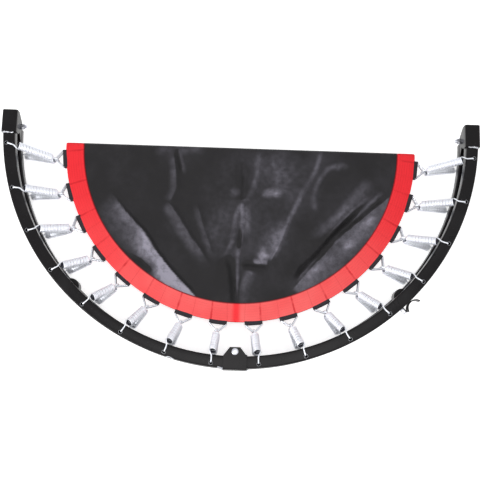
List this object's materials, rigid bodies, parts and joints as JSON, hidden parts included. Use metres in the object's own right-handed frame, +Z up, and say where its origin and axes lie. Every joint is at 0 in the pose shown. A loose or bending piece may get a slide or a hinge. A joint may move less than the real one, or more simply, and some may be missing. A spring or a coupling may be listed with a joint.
{
  "type": "folding mini trampoline",
  "caption": "Round mini trampoline ring of square tube, folded in half at two hinges, with a fabric mat hung on hooked coil springs and triangular rings.",
  "frame": {"origin": "on the surface it lies on, under the middle of the folded object's box", "axes": "+X along the fold, towards the right end hinge; +Y from the round side towards the fold; +Z up"},
  "size_m": [1.0164, 0.5268, 0.0924],
  "materials": {
    "ring_tube": "black powder coat, satin",
    "hinge_plate": "black powder coat, satin, with bare weld beads",
    "bright_zinc": "bright zinc plate",
    "spring_wire": "zinc-plated spring wire, satin",
    "mat_cloth": "woven polypropylene, slight sheen",
    "border_webbing": "stitched red webbing, with black loops and zinc-plated rings"
  },
  "bodies": {
    "near_frame": {"near_left_tube": "ring_tube", "near_right_tube": "ring_tube", "near_centre_bracket": "hinge_plate", "near_centre_lug": "hinge_plate", "near_centre_pin": "bright_zinc", "near_left_leg_socket": "hinge_plate", "near_right_leg_socket": "hinge_plate", "left_end_bracket": "hinge_plate", "right_end_bracket": "hinge_plate", "left_fold_bolt": "bright_zinc", "right_fold_bolt": "bright_zinc", "left_fold_nut": "bright_zinc", "right_fold_nut": "bright_zinc", "leg_saddle": "hinge_plate", "leg_stud": "bright_zinc", "near_spring_01": "spring_wire", "near_spring_02": "spring_wire", "near_spring_03": "spring_wire", "near_spring_04": "spring_wire", "near_spring_05": "spring_wire", "near_spring_06": "spring_wire", "near_spring_07": "spring_wire", "near_spring_08": "spring_wire", "near_spring_09": "spring_wire", "near_spring_10": "spring_wire", "near_spring_11": "spring_wire", "near_spring_12": "spring_wire", "near_spring_13": "spring_wire", "near_spring_14": "spring_wire", "near_spring_15": "spring_wire", "near_spring_16": "spring_wire"},
    "far_frame": {"far_left_tube": "ring_tube", "far_right_tube": "ring_tube", "far_centre_bracket": "hinge_plate", "far_centre_lug": "hinge_plate", "far_centre_pin": "bright_zinc", "far_left_leg_socket": "hinge_plate", "far_right_leg_socket": "hinge_plate", "left_end_lug": "hinge_plate", "right_end_lug": "hinge_plate", "far_spring_01": "spring_wire", "far_spring_02": "spring_wire", "far_spring_03": "spring_wire", "far_spring_04": "spring_wire", "far_spring_05": "spring_wire", "far_spring_06": "spring_wire", "far_spring_07": "spring_wire", "far_spring_08": "spring_wire", "far_spring_09": "spring_wire", "far_spring_10": "spring_wire", "far_spring_11": "spring_wire", "far_spring_12": "spring_wire", "far_spring_13": "spring_wire", "far_spring_14": "spring_wire", "far_spring_15": "spring_wire", "far_spring_16": "spring_wire"},
    "near_mat_half": {"near_mat": "mat_cloth", "near_mat_border": "border_webbing"},
    "far_mat_half": {"far_mat": "mat_cloth", "far_mat_border": "border_webbing"}
  },
  "joints": [
    {"name": "unfold", "type": "hinge", "parent": "near_frame", "child": "far_frame", "pos_m": [0, 0.23945, 0.0473], "axis": [1, 0, 0], "range_deg": [0, 180]},
    {"name": "near_mat_lift", "type": "slide", "parent": "near_frame", "child": "near_mat_half", "axis": [0, 0.7526, 0.6585], "range_m": [0, 0.04253], "deforming": ["near_spring_01", "near_spring_02", "near_spring_03", "near_spring_04", "near_spring_05", "near_spring_06", "near_spring_07", "near_spring_08", "near_spring_09", "near_spring_10", "near_spring_11", "near_spring_12", "near_spring_13", "near_spring_14", "near_spring_15", "near_spring_16"]},
    {"name": "far_mat_lift", "type": "slide", "parent": "far_frame", "child": "far_mat_half", "axis": [0, 0.7526, -0.6585], "range_m": [0, 0.04253], "deforming": ["far_spring_01", "far_spring_02", "far_spring_03", "far_spring_04", "far_spring_05", "far_spring_06", "far_spring_07", "far_spring_08", "far_spring_09", "far_spring_10", "far_spring_11", "far_spring_12", "far_spring_13", "far_spring_14", "far_spring_15", "far_spring_16"]}
  ],
  "couplings": [
    {"joint": "near_mat_lift", "follows": "unfold", "m_per_rad": 0.013535},
    {"joint": "far_mat_lift", "follows": "unfold", "m_per_rad": 0.013535}
  ]
}
